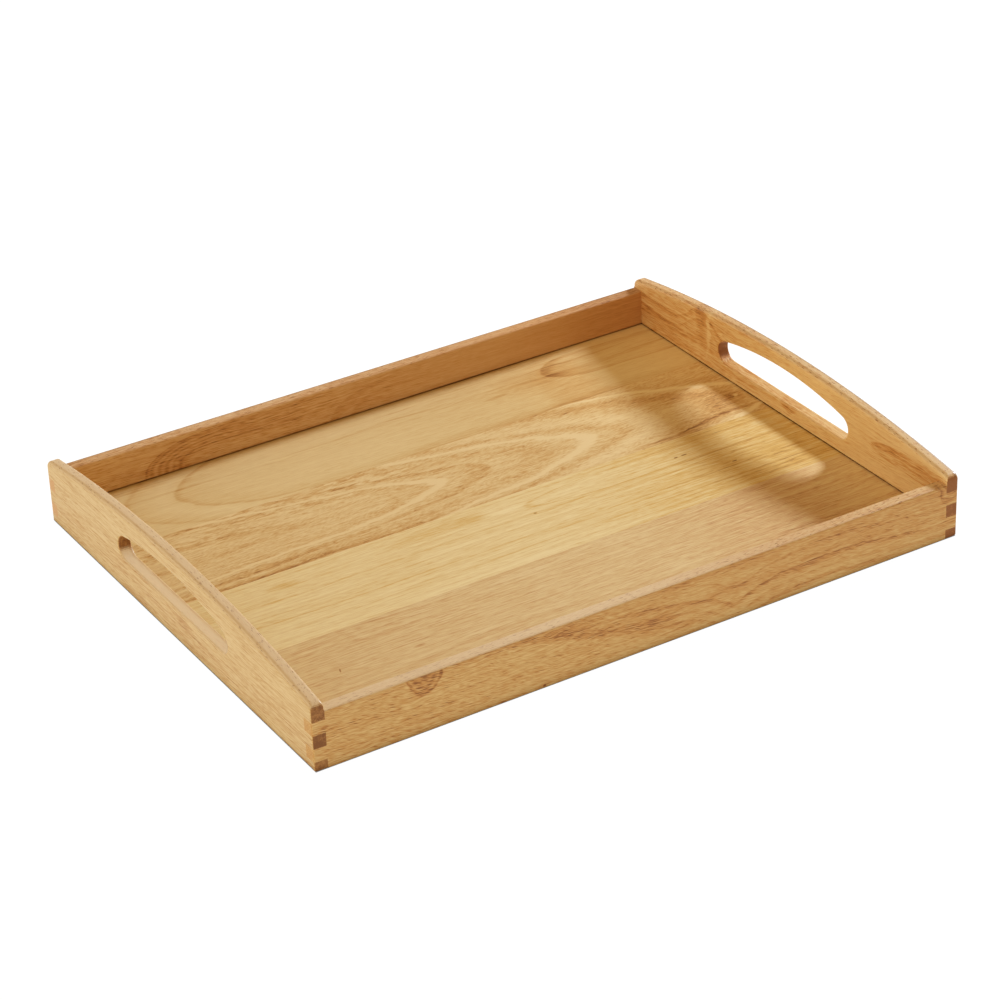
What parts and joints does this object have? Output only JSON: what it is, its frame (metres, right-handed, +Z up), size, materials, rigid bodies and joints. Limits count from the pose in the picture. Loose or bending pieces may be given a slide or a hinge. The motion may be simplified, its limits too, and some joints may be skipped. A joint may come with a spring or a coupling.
{
  "type": "serving tray",
  "caption": "Rectangular wooden serving tray with finger-jointed corners, arched end boards with handle slots and a grooved-in floor of edge-glued strips.",
  "frame": {"origin": "middle of the underside, on the plane that the tray rests on", "axes": "+X along the long rails, +Y across the tray from the front rail to the rear rail, +Z up"},
  "size_m": [0.5, 0.378, 0.0634],
  "materials": {
    "end_board_wood": "satin clear lacquer",
    "rail_wood": "satin clear lacquer",
    "floor_rear_wood": "satin clear lacquer",
    "floor_mid_rear_wood": "satin clear lacquer",
    "floor_mid_front_wood": "satin clear lacquer",
    "floor_front_wood": "satin clear lacquer"
  },
  "bodies": {
    "root": {"left_end_board": "end_board_wood", "right_end_board": "end_board_wood", "front_rail": "rail_wood", "rear_rail": "rail_wood", "floor_strip_rear": "floor_rear_wood", "floor_strip_mid_rear": "floor_mid_rear_wood", "floor_strip_mid_front": "floor_mid_front_wood", "floor_strip_front": "floor_front_wood"}
  },
  "joints": []
}
